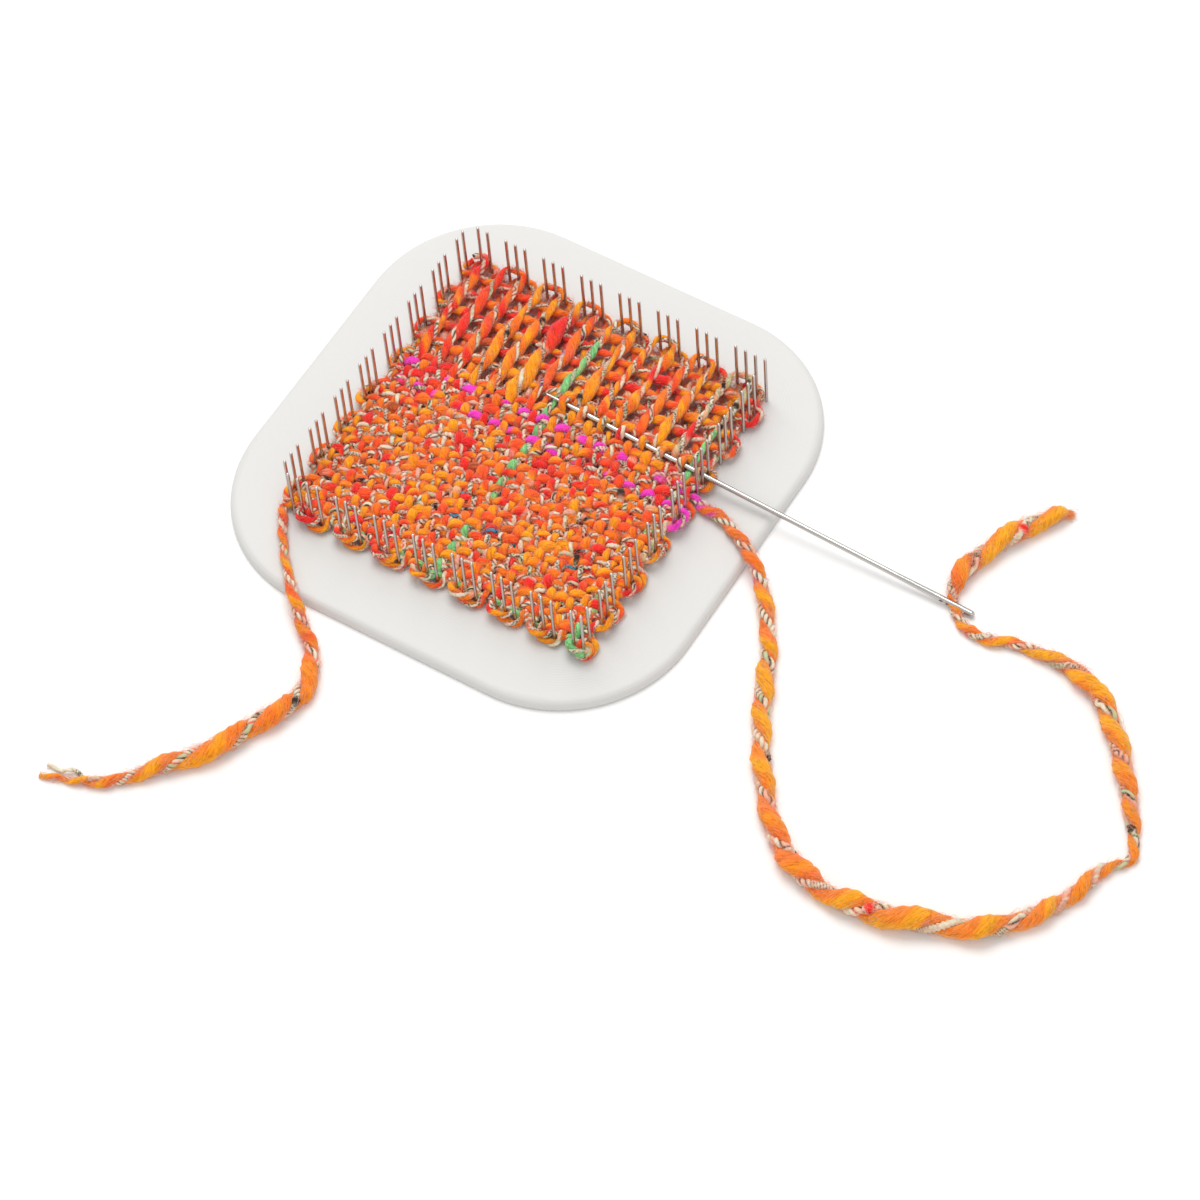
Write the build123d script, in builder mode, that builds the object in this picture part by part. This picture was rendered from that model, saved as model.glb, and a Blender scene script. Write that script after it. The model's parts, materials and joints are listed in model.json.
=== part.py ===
"""A four-inch pin loom: a thin rounded plate with rows of steel pins, a half-woven
yarn square on the pins, the steel weaving needle in its row, and the free yarn ends.

Millimetres, +Z up.  The origin is the centre of the plate's underside.  X runs along the
front row of pins and Y from the front row to the back row.
"""

from build123d import *
from math import atan, cos, degrees, pi, radians, sin, tan
import os

# Pin lattice: every pin stands on a 1/8 inch grid, 31 steps on a side
step = 3.175
steps = 31
half_square = step * steps / 2

# Base plate
plate_side = 143.5
plate_corner = 40.0
plate_thickness = 3.0
plate_shoulder = 2.3
plate_lower_edge = 0.4

# Pins, pressed into blind holes
pin_diameter = 0.9
pin_height = 19.7
pin_depth = 2.2
pin_bottom = plate_thickness - pin_depth
pin_top = plate_thickness + pin_height

# Yarn on the pins: four layers of strands, each wound on top of the one before
strand_diameter = 1.16
strand_lift = 0.62
layer_rise = 1.2
first_layer = plate_thickness + strand_lift
layers = [first_layer + layer_rise * i for i in range(4)]
loop_offset = 0.4
loop_corner = 1.3
cloth_edge = 0.4
cloth_end = 19.0
cloth_gap = 0.05
cloth_corner = 1.5
cloth_shoulder = 0.8
cloth_bottom = plate_thickness + cloth_gap
cloth_top = layers[3] + strand_diameter / 2

# Weaving needle: straight, its eye end down on the table, in the row between pins 20 and 21
needle_length = 138.0
needle_end = Vector(134.7, 15.7, 0.95)
needle_slope = 0.0752
needle_pitch = degrees(atan(needle_slope))
needle_radius = 0.75
needle_head_radius = 0.9
needle_head_length = 12.0
needle_flare_length = 13.0
needle_taper = 10.0
needle_tip_radius = 0.28
eye_length = 8.0
eye_height = 1.0
eye_centre = 6.6

# Free yarn
yarn_diameter = 4.0
tail_diameter = 3.8
yarn_lay = yarn_diameter / 2
tail_lay = tail_diameter / 2
eye_yarn_width = 3.0
eye_yarn_thickness = 0.6
bend_share = 0.45

# Working yarn from the pins, over the plate's edge and out on the table
working_route = [
    (51.4, 8.2, 5.3),
    (56.8, 7.8, 5.2),
    (62.6, 6.2, 5.2),
    (68.8, 2.9, 5.4),
    (75.4, -1.2, 5.0),
    (80.6, -6.6, 2.9),
    (86.2, -13.8, yarn_lay),
    (92.4, -23.0, yarn_lay),
    (97.4, -35.2, yarn_lay),
    (104.6, -48.5, yarn_lay),
    (113.2, -61.4, yarn_lay),
    (124.0, -73.6, yarn_lay),
    (137.5, -80.6, yarn_lay),
    (154.8, -81.0, yarn_lay),
    (171.8, -75.5, yarn_lay),
]
# The same yarn from its widest point back to the needle's eye
return_route = [
    (171.8, -75.5, yarn_lay),
    (186.6, -70.71, yarn_lay),
    (196.2, -58.2, yarn_lay),
    (202.6, -45.4, yarn_lay),
    (206.6, -32.0, yarn_lay),
    (203.6, -21.8, yarn_lay),
    (196.6, -12.0, yarn_lay),
    (188.4, -1.8, yarn_lay),
    (179.6, 7.6, yarn_lay),
    (168.8, 13.0, yarn_lay),
    (157.4, 13.6, yarn_lay),
    (147.6, 11.8, yarn_lay),
    (139.9, 8.9, yarn_lay),
    (133.5, 8.3, yarn_lay),
    (129.9, 13.1, yarn_lay),
]
# Past the eye: the bare end of the working yarn
end_route = [
    (126.3, 17.9, yarn_lay),
    (123.6, 21.5, yarn_lay),
    (124.2, 28.2, yarn_lay),
    (126.6, 35.8, yarn_lay),
    (130.6, 43.5, yarn_lay),
    (136.0, 51.0, yarn_lay),
    (142.4, 57.6, yarn_lay),
]
# The tail that the yarn was started with
tail_route = [
    (-50.2, -48.8, 5.1),
    (-46.8, -54.4, 5.1),
    (-42.4, -60.4, 5.1),
    (-37.6, -66.0, 5.2),
    (-32.4, -71.4, 5.4),
    (-26.4, -77.2, 3.8),
    (-19.8, -81.8, tail_lay),
    (-14.6, -87.8, tail_lay),
    (-11.4, -95.4, tail_lay),
    (-12.8, -104.4, tail_lay),
    (-17.8, -112.0, tail_lay),
    (-20.4, -120.8, tail_lay),
    (-26.2, -129.2, tail_lay),
    (-33.4, -137.0, tail_lay),
    (-39.8, -145.0, tail_lay),
    (-48.8, -150.8, tail_lay),
    (-60.4, -153.8, tail_lay),
]

os.makedirs("parts", exist_ok=True)


def grid(column, row, height=0.0):
    """The point at a column and row of the pin lattice."""
    return Vector(column * step - half_square, row * step - half_square, height)


def triples(first, last):
    """Groups of three neighbouring pins, one group every four steps."""
    return [[n, n + 1, n + 2] for n in range(first, last, 4)]


def add_tube(route, radii, diameter):
    """Sweep a round section along straight runs joined by arcs, in the open BuildPart."""
    with BuildLine() as line:
        FilletPolyline(*route, radius=radii)
    path = line.wire()
    with BuildSketch(Plane(origin=path @ 0, z_dir=path % 0)) as section:
        Circle(diameter / 2)
    sweep(sections=section.sketch, path=path)
    return path.length


def route_radii(route):
    """The largest arc that the two runs at each corner of a free yarn leave room for."""
    points = [Vector(*point) for point in route]
    radii = []
    for before, corner, after in zip(points, points[1:], points[2:]):
        turn = (corner - before).get_angle(after - corner)
        shorter = min((corner - before).length, (after - corner).length)
        radii.append(bend_share * shorter / tan(radians(turn) / 2))
    return radii


def free_yarn(name, route, diameter):
    """One free stretch of yarn as its own node, with its radii, length and volume printed."""
    radii = route_radii(route)
    with BuildPart() as yarn:
        length = add_tube(route, radii, diameter)
    section = pi * diameter**2 / 4
    print(name, "radii", [round(radius, 1) for radius in radii])
    print(name, "length", round(length, 1), "volume", round(yarn.part.volume, 1))
    print(name, "section x length", round(section * length, 1))
    yarn.part.label = name
    export_step(yarn.part, f"parts/{name}.step")


# ---------------------------------------------------------------- pin positions
pin_groups = {
    "pins_back": [
        [(n, steps) for n in group]
        for group in [[1, 2], *triples(4, 27), [28, 29, 30, 31]]
    ],
    "pins_front": [
        [(n, 0) for n in group] for group in [[1, 2, 3, 4], *triples(6, 29), [30, 31]]
    ],
    "pins_left": [
        [(0, n) for n in group] for group in [[1, 2, 3], *triples(5, 28), [29, 30]]
    ],
    "pins_right": [[(steps, n) for n in group] for group in [[1], *triples(3, 30)]],
}
all_pins = [pin for groups in pin_groups.values() for group in groups for pin in group]
print("pins", len(all_pins))

# ---------------------------------------------------------------- base plate
with BuildPart() as base_plate:
    with BuildSketch():
        RectangleRounded(plate_side, plate_side, plate_corner)
    extrude(amount=plate_thickness)
    fillet(base_plate.faces().sort_by(Axis.Z)[-1].edges(), plate_shoulder)
    fillet(base_plate.faces().sort_by(Axis.Z)[0].edges(), plate_lower_edge)
    with BuildSketch(Plane.XY.offset(pin_bottom)):
        with Locations(*[grid(*pin) for pin in all_pins]):
            Circle(pin_diameter / 2)
    extrude(amount=pin_depth, mode=Mode.SUBTRACT)
base_plate.part.label = "base_plate"
export_step(base_plate.part, "parts/base_plate.step")

# ---------------------------------------------------------------- pins
for side, groups in pin_groups.items():
    for number, group in enumerate(groups, start=1):
        with BuildPart() as pins:
            with BuildSketch(Plane.XY.offset(pin_bottom)):
                with Locations(*[grid(*pin) for pin in group]):
                    Circle(pin_diameter / 2)
            extrude(amount=pin_top - pin_bottom - pin_diameter / 2)
            with Locations(*[grid(*pin, pin_top - pin_diameter / 2) for pin in group]):
                Sphere(pin_diameter / 2)
        pins.part.label = f"{side}_{number}"
        export_step(pins.part, f"parts/{side}_{number}.step")

# ---------------------------------------------------------------- woven cloth
with BuildPart() as woven_cloth:
    with BuildSketch(Plane.XY.offset(cloth_bottom)):
        with BuildLine():
            Polyline(
                grid(cloth_edge, cloth_edge),
                grid(steps - cloth_edge, cloth_edge),
                grid(steps - cloth_edge, cloth_end),
                grid(cloth_edge, cloth_end),
                close=True,
            )
        make_face()
    extrude(amount=cloth_top - cloth_bottom)
    fillet(woven_cloth.edges().filter_by(Axis.Z), cloth_corner)
    fillet(woven_cloth.faces().sort_by(Axis.Z)[-1].edges(), cloth_shoulder)
woven_cloth.part.label = "woven_cloth"
export_step(woven_cloth.part, "parts/woven_cloth.step")


# ---------------------------------------------------------------- strands and edge loops
def strand(*places, height):
    """A strand through lattice places, bent round the pins in small arcs."""
    add_tube([grid(*place, height) for place in places], loop_corner, strand_diameter)


back_line = steps + loop_offset
right_line = steps + loop_offset
front_line = -loop_offset
left_line = -loop_offset
far_edge = steps - cloth_edge

with BuildPart() as first_layer_strands:
    for column in [0.5 + 4 * i for i in range(8)]:
        strand(
            (column, cloth_end),
            (column, back_line),
            (column + 2, back_line),
            (column + 2, cloth_end),
            height=layers[0],
        )
first_layer_strands.part.label = "first_layer_strands"
export_step(first_layer_strands.part, "parts/first_layer_strands.step")

with BuildPart() as second_layer_strands:
    zigzag = [(cloth_edge, 17.5), (left_line, 17.5)]
    for row in (19.5, 23.5, 27.5):
        zigzag += [(left_line, row), (right_line, row)]
        zigzag += [(right_line, row + 2), (left_line, row + 2)]
    strand(*zigzag, (left_line, 30.4), height=layers[1])
second_layer_strands.part.label = "second_layer_strands"
export_step(second_layer_strands.part, "parts/second_layer_strands.step")

with BuildPart() as third_layer_strands:
    strand(
        (left_line, 29.6),
        (left_line, back_line),
        (1.5, back_line),
        (1.5, cloth_end),
        height=layers[2],
    )
    for column in [3.5 + 4 * i for i in range(7)]:
        strand(
            (column, cloth_end),
            (column, back_line),
            (column + 2, back_line),
            (column + 2, cloth_end),
            height=layers[2],
        )
third_layer_strands.part.label = "third_layer_strands"
export_step(third_layer_strands.part, "parts/third_layer_strands.step")

with BuildPart() as front_loops:
    for layer, columns in (
        (0, [2.5 + 4 * i for i in range(7)]),
        (2, [1.5 + 4 * i for i in range(7)]),
    ):
        for column in columns:
            strand(
                (column, cloth_edge),
                (column, front_line),
                (column + 2, front_line),
                (column + 2, cloth_edge),
                height=layers[layer],
            )
    strand(
        (30.5, cloth_edge),
        (30.5, front_line),
        (right_line, front_line),
        (right_line, 1.5),
        (far_edge, 1.5),
        height=layers[0],
    )
    strand(
        (29.5, cloth_edge),
        (29.5, front_line),
        (right_line, front_line),
        (right_line, 0.5),
        (far_edge, 0.5),
        height=layers[3],
    )
front_loops.part.label = "front_loops"
export_step(front_loops.part, "parts/front_loops.step")

with BuildPart() as left_loops:
    for layer, rows in (
        (1, [1.5 + 4 * i for i in range(4)]),
        (3, [0.5 + 4 * i for i in range(5)]),
    ):
        for row in rows:
            strand(
                (cloth_edge, row),
                (left_line, row),
                (left_line, row + 2),
                (cloth_edge, row + 2),
                height=layers[layer],
            )
left_loops.part.label = "left_loops"
export_step(left_loops.part, "parts/left_loops.step")

with BuildPart() as right_loops:
    for layer, rows in (
        (1, [3.5 + 4 * i for i in range(4)]),
        (3, [2.5 + 4 * i for i in range(4)]),
    ):
        for row in rows:
            strand(
                (far_edge, row),
                (right_line, row),
                (right_line, row + 2),
                (far_edge, row + 2),
                height=layers[layer],
            )
right_loops.part.label = "right_loops"
export_step(right_loops.part, "parts/right_loops.step")

# ---------------------------------------------------------------- weaving needle
along = Vector(-cos(radians(needle_pitch)), 0, sin(radians(needle_pitch)))
needle_plane = Plane(origin=needle_end, x_dir=along, z_dir=(0, 1, 0))

with BuildPart() as needle:
    with BuildSketch(needle_plane):
        with BuildLine():
            shaft_end = needle_length - needle_taper
            tip_start = needle_length - needle_tip_radius
            flare_end = needle_head_length + needle_flare_length
            CenterArc((needle_head_radius, 0), needle_head_radius, 90, 90)
            Polyline(
                (needle_head_radius, needle_head_radius),
                (needle_head_length, needle_head_radius),
                (flare_end, needle_radius),
                (shaft_end, needle_radius),
                (tip_start, needle_tip_radius),
            )
            CenterArc((tip_start, 0), needle_tip_radius, 0, 90)
            Line((needle_length, 0), (0, 0))
        make_face()
    revolve(axis=Axis(needle_end, along))
    with BuildSketch(needle_plane):
        with Locations((eye_centre, 0)):
            SlotOverall(eye_length, eye_height)
    extrude(amount=2 * needle_head_radius, both=True, mode=Mode.SUBTRACT)
needle.part.label = "needle"
export_step(needle.part, "parts/needle.step")

# ---------------------------------------------------------------- free yarn
free_yarn("start_tail", tail_route, tail_diameter)
free_yarn("working_yarn", working_route, yarn_diameter)
free_yarn("working_yarn_return", return_route, yarn_diameter)
free_yarn("working_yarn_end", end_route, yarn_diameter)

# The yarn where the needle's eye presses it flat
eye_from = Vector(*return_route[-1])
eye_to = Vector(*end_route[0])
with BuildPart() as eye_yarn:
    eye_height_here = needle_end.Z + eye_centre * sin(radians(needle_pitch))
    centre = Vector((eye_from.X + eye_to.X) / 2, (eye_from.Y + eye_to.Y) / 2, eye_height_here)
    with BuildSketch(Plane(origin=centre, x_dir=eye_to - eye_from, z_dir=(0, 0, 1))):
        Rectangle((eye_to - eye_from).length, eye_yarn_width)
    extrude(amount=eye_yarn_thickness / 2, both=True)
eye_yarn.part.label = "eye_yarn"
export_step(eye_yarn.part, "parts/eye_yarn.step")
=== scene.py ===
import json
import math

import bpy
import numpy as np
from mathutils import Matrix, Vector

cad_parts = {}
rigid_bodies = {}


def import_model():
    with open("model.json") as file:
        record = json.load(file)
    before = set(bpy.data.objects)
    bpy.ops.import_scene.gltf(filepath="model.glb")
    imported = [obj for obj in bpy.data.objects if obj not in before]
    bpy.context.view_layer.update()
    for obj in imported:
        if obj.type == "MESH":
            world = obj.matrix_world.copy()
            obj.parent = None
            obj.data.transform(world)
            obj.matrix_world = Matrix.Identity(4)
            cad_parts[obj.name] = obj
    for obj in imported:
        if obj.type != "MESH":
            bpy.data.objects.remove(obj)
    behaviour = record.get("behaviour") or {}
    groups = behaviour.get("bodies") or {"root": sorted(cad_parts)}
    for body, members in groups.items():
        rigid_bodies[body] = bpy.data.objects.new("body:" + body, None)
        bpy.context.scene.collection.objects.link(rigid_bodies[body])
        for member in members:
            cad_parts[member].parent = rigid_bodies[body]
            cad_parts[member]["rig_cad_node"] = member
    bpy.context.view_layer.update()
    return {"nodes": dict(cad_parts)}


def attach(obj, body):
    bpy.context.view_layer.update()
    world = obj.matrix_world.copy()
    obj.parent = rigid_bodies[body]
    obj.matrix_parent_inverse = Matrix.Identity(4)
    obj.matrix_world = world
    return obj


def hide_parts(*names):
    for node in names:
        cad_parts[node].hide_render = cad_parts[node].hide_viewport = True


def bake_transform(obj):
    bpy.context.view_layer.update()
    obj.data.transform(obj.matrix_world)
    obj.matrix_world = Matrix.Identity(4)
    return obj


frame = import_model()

MM = 0.001


def new_object(name, data):
    """A new object in the scene."""
    obj = bpy.data.objects.new(name, data)
    bpy.context.scene.collection.objects.link(obj)
    return obj


# ---------------------------------------------------------------- camera

# The camera looks down on the loom over its front right corner. Places are in metres.
camera_data = bpy.data.cameras.new("camera")
camera_data.lens = 138.35
camera_data.sensor_width = 36.0
camera_data.clip_start = 0.05
camera_data.clip_end = 20.0
camera = new_object("camera", camera_data)
camera_right = Vector((0.85134, 0.52198, -0.05250)).normalized()
camera_up = Vector((-0.41165, 0.72671, 0.54994)).normalized()
camera_turn = Matrix((camera_right, camera_up, camera_right.cross(camera_up))).transposed()
camera.matrix_world = Matrix.Translation((0.456484, -0.598854, 1.061585)) @ camera_turn.to_4x4()
bpy.context.scene.camera = camera

# ---------------------------------------------------------------- numbers shared by the yarn

# The pin lattice: the size of a step in mm, the steps on a side, and half a side in mm
STEP = 3.175
STEPS = 31
HALF = 0.5 * STEPS * STEP

# The top of the plate and the needle, in mm, and the row that the needle lies in, in steps
PLATE = 3.0
NEEDLE_RADIUS = 0.75
NEEDLE_ROW = 20.446

# The weaving ends at this row; the strands behind it are open
WOVEN_ROWS = 19.5

# Spacing of the rings along the yarn, in mm, and how many corners a ring has
CORE_STEP = 0.55
BINDER_STEP = 0.28
LOOM_SIDES = 14
FREE_CORE_SIDES = 24
FREE_BINDER_SIDES = 12
HAIR_SIDES = 3

# The core has a dent where the binder lies in it: its depth as a share of the core's
# radius, its width in radians, and how far out the binder's middle lies, as such a share
DENT_DEPTH = 0.46
DENT_WIDTH = 0.62
BINDER_SEAT = 0.54

# Material slots of a yarn's mesh
CORE_SLOT, BINDER_SLOT, FUZZ_SLOT = 0, 1, 2


def linear(red, green, blue):
    """A display colour, 0 to 255, as linear light."""
    c = np.array([red, green, blue], float) / 255
    return np.where(c <= 0.04045, c / 12.92, ((c + 0.055) / 1.055) ** 2.4)


ORANGE = linear(255, 122, 26)
YELLOW = linear(255, 158, 16)
CORAL = linear(252, 82, 34)
PALE_ORANGE = linear(255, 170, 44)
DEEP_ORANGE = linear(255, 140, 52)
RED = linear(240, 42, 36)
RUST = linear(186, 86, 44)
MAGENTA = linear(253, 60, 196)
GREEN = linear(124, 196, 124)
SAGE = linear(186, 196, 152)
BLUE = linear(0, 150, 182)
PURPLE = linear(116, 42, 150)
BLACK = linear(38, 26, 24)
CREAM = linear(226, 218, 192)
PINK = linear(232, 176, 152)
BROWN = linear(92, 40, 30)


def smooth(t):
    """0 to 1 with level ends."""
    t = np.clip(t, 0.0, 1.0)
    return t * t * (3 - 2 * t)


def wander(s, reach, seed):
    """Smooth noise from -1 to 1 along a length."""
    knots = np.random.default_rng(seed).uniform(-1, 1, int(np.max(s) / reach) + 4)
    t = np.maximum(s, 0) / reach
    i = t.astype(int)
    return knots[i] + (knots[i + 1] - knots[i]) * smooth(t - i)


def mix(a, b, w):
    """Blend colours, or points, row by row."""
    return a + (b - a) * np.asarray(w)[..., None]


def lengths(line):
    """Distance along a line of points."""
    return np.concatenate([[0.0], np.cumsum(np.linalg.norm(np.diff(line, axis=0), axis=1))])


def even(line, step):
    """The same line with points a fixed distance apart."""
    s = lengths(line)
    t = np.linspace(0, s[-1], max(3, int(round(s[-1] / step)) + 1))
    return np.stack([np.interp(t, s, line[:, k]) for k in range(3)], 1)


def soften(line, width):
    """Average a line over its neighbours, its two ends kept."""
    n = int(3 * width) + 1
    k = np.exp(-0.5 * (np.arange(-n, n + 1) / width) ** 2)
    k /= k.sum()
    padded = np.concatenate([2 * line[0] - line[n:0:-1], line, 2 * line[-1] - line[-2:-n - 2:-1]])
    return np.stack([np.convolve(padded[:, i], k, "valid") for i in range(3)], 1)


def unit(v):
    """Vectors of length one."""
    return v / np.maximum(np.linalg.norm(v, axis=-1, keepdims=True), 1e-9)


def axes(line):
    """Along, upright and sideways directions at every point of a line."""
    along = unit(np.gradient(line, axis=0))
    up = unit(np.array([0.0, 0.0, 1.0]) - along * along[:, 2:3])
    return along, up, np.cross(along, up)


def corners_of(sides):
    """The angles of the corners of a ring."""
    return np.arange(sides) * 2 * math.pi / sides


def hair_rings(path, radius, first, second):
    """Small rings round the points of many hairs; first and second span each ring."""
    turn = corners_of(HAIR_SIDES)[:, None]
    return path[:, :, None] + radius * (first * np.cos(turn) + second * np.sin(turn))


def hair_sections(path, reference):
    """Two directions square to each hair, at each of its points."""
    along = unit(np.gradient(path, axis=1))
    first = unit(np.cross(along, reference))
    return first[:, :, None], np.cross(along, first)[:, :, None]


def spline(route):
    """Points of the smooth spline led by a route, in mm."""
    data = bpy.data.curves.new("route", "CURVE")
    data.dimensions = "3D"
    data.resolution_u = 24
    run = data.splines.new("NURBS")
    run.points.add(len(route) - 1)
    for point, place in zip(run.points, route):
        point.co = (*place, 1.0)
    run.order_u = 3
    run.use_endpoint_u = True
    obj = new_object("route", data)
    bpy.context.view_layer.update()
    mesh = bpy.data.meshes.new_from_object(obj)
    points = np.array([v.co[:] for v in mesh.vertices]) / MM
    bpy.data.objects.remove(obj)
    bpy.data.meshes.remove(mesh)
    bpy.data.curves.remove(data)
    return points


# ---------------------------------------------------------------- materials


def put(made, **values):
    """Set inputs of a shader node, each by its name with _ for a space."""
    for key, value in values.items():
        made.inputs[key.replace("_", " ")].default_value = value


def material(name, base, roughness, metallic=0.0, specular=0.5):
    """A principled material, its shader and its node tree."""
    made = bpy.data.materials.new(name)
    made.use_nodes = True
    shader = made.node_tree.nodes["Principled BSDF"]
    put(shader, Base_Color=(*base, 1.0), Roughness=roughness)
    put(shader, Metallic=metallic, Specular_IOR_Level=specular)
    return made, shader, made.node_tree


def node(tree, kind, **values):
    """A new shader node with some of its inputs set."""
    made = tree.nodes.new(kind)
    put(made, **values)
    return made


def attribute(tree, name):
    """The node that reads an attribute of the mesh."""
    made = tree.nodes.new("ShaderNodeAttribute")
    made.attribute_name = name
    return made


def bump(tree, shader, height, strength, distance):
    """Relief on a shader from the value of a socket; distance is in metres."""
    made = node(tree, "ShaderNodeBump", Strength=strength, Distance=distance)
    tree.links.new(height, made.inputs["Height"])
    tree.links.new(made.outputs["Normal"], shader.inputs["Normal"])


def noise(tree, vector, scale, detail):
    """The value of a noise texture at a place."""
    made = node(tree, "ShaderNodeTexNoise", Scale=scale, Detail=detail)
    tree.links.new(vector, made.inputs["Vector"])
    return made.outputs["Fac"]


def maths(tree, kind, *terms):
    """A math node of one operation; terms are sockets or numbers."""
    made = tree.nodes.new("ShaderNodeMath")
    made.operation = kind
    for i, term in enumerate(terms):
        if isinstance(term, (int, float)):
            made.inputs[i].default_value = term
        else:
            tree.links.new(term, made.inputs[i])
    return made.outputs[0]


def fibre_material(name, roughness, sheen, contrast, relief, glow):
    """Spun fibre: painted colours, streaks and relief that run along the fibres."""
    made, shader, tree = material(name, (0.8, 0.8, 0.8), roughness, specular=0.2)
    put(shader, Subsurface_Weight=glow, Subsurface_Radius=(1.0, 0.4, 0.2))
    put(shader, Subsurface_Scale=0.0016, Sheen_Weight=sheen, Sheen_Roughness=0.45)
    place = attribute(tree, "grain").outputs["Vector"]
    streak = maths(tree, "ADD", noise(tree, place, 2.2, 4.0), noise(tree, place, 7.0, 2.0))
    gain = maths(tree, "MULTIPLY_ADD", streak, contrast, 1.0 - contrast)
    scaled = tree.nodes.new("ShaderNodeVectorMath")
    scaled.operation = "SCALE"
    tree.links.new(attribute(tree, "shade").outputs["Color"], scaled.inputs[0])
    tree.links.new(gain, scaled.inputs["Scale"])
    tree.links.new(scaled.outputs["Vector"], shader.inputs["Base Color"])
    bump(tree, shader, noise(tree, place, 2.6, 4.0), relief, 0.0005)
    return made


WOOL = fibre_material("wool_core", 0.9, sheen=0.3, contrast=1.5, relief=1.0, glow=0.55)
BINDER = fibre_material("binder_thread", 0.7, sheen=0.12, contrast=0.35, relief=0.4, glow=0.1)
FUZZ = fibre_material("loose_fibre", 0.8, sheen=0.2, contrast=0.1, relief=0.1, glow=0.0)

# ---------------------------------------------------------------- yarn


class Piece:
    """The surfaces of one object, gathered in mm as closed tubes of rings."""

    def __init__(self, name):
        self.name = name
        self.points, self.shades, self.grains = [], [], []
        self.corners, self.sizes, self.slots = [], [], []
        self.count = 0

    def add(self, rings, shades, grains, corners, sizes, slot):
        """Keep one set of rings with its colours, its fibre places and its faces."""
        self.points.append(rings.reshape(-1, 3))
        self.shades.append(shades.reshape(-1, 3))
        self.grains.append(grains.reshape(-1, 3))
        self.corners.append(corners + self.count)
        self.sizes.append(sizes)
        self.slots.append(np.full(len(sizes), slot))
        self.count += len(self.points[-1])

    def tube(self, rings, shades, grains, slot):
        """One tube with closed ends: rings is ring, corner, place."""
        n, m = rings.shape[:2]
        i = np.arange(n - 1)[:, None] * m
        j = np.arange(m)[None, :]
        k = (j + 1) % m
        quads = np.stack([i + j, i + k, i + k + m, i + j + m], -1).reshape(-1)
        caps = np.concatenate([np.arange(m)[::-1], (n - 1) * m + np.arange(m)])
        sizes = np.concatenate([np.full((n - 1) * m, 4), [m, m]])
        self.add(rings, shades, grains, np.concatenate([quads, caps]), sizes, slot)

    def hairs(self, rings, shades, slot):
        """Many thin tubes at once: rings is tube, ring, corner, place."""
        count, n, m = rings.shape[:3]
        base = np.arange(count)[:, None, None] * n * m
        i = np.arange(n - 1)[None, :, None] * m
        j = np.arange(m)[None, None, :]
        k = (j + 1) % m
        here, beside = base + i + j, base + i + k
        quads = np.stack([here, beside, beside + m, here + m], -1).reshape(-1)
        caps = (np.stack([np.arange(m)[::-1], (n - 1) * m + np.arange(m)])[None] + base).reshape(-1)
        sizes = np.concatenate([np.full(count * (n - 1) * m, 4), np.full(count * 2, m)])
        shades = np.broadcast_to(shades[:, None, None], rings.shape)
        self.add(rings, shades, rings * 0.1, np.concatenate([quads, caps]), sizes, slot)

    def build(self, body, slot, *replaced):
        """Make the mesh object, put it on its body and hide the CAD nodes that it replaces."""
        mesh = bpy.data.meshes.new(self.name)
        points = np.concatenate(self.points) * MM
        points[:, 2] = np.maximum(points[:, 2], 0.02 * MM)
        corners = np.concatenate(self.corners).astype(np.int32)
        sizes = np.concatenate(self.sizes)
        starts = np.concatenate([[0], np.cumsum(sizes)[:-1]]).astype(np.int32)
        mesh.vertices.add(len(points))
        mesh.vertices.foreach_set("co", points.astype(np.float32).ravel())
        mesh.loops.add(len(corners))
        mesh.loops.foreach_set("vertex_index", corners)
        mesh.polygons.add(len(sizes))
        mesh.polygons.foreach_set("loop_start", starts)
        mesh.polygons.foreach_set("material_index", np.concatenate(self.slots).astype(np.int32))
        mesh.polygons.foreach_set("use_smooth", np.ones(len(sizes), bool))
        mesh.update(calc_edges=True)
        shades = np.concatenate(self.shades)
        shades = np.concatenate([shades, np.ones((len(shades), 1))], 1)
        layer = mesh.color_attributes.new("shade", "FLOAT_COLOR", "POINT")
        layer.data.foreach_set("color", shades.astype(np.float32).ravel())
        layer = mesh.attributes.new("grain", "FLOAT_VECTOR", "POINT")
        layer.data.foreach_set("vector", np.concatenate(self.grains).astype(np.float32).ravel())
        for made in (WOOL, BINDER, FUZZ):
            mesh.materials.append(made)
        mesh.validate()
        obj = new_object(self.name, mesh)
        if body:
            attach(obj, body)
        if replaced:
            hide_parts(*replaced)
        return obj


def squashed(points, line, up, side, high, wide):
    """Points flattened about a line, by high in one direction and by wide in the other."""
    off = points - line
    rise = (off * up).sum(-1, keepdims=True)
    across = (off * side).sum(-1, keepdims=True)
    return points + up * rise * (high - 1) + side * across * (wide - 1)


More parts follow.
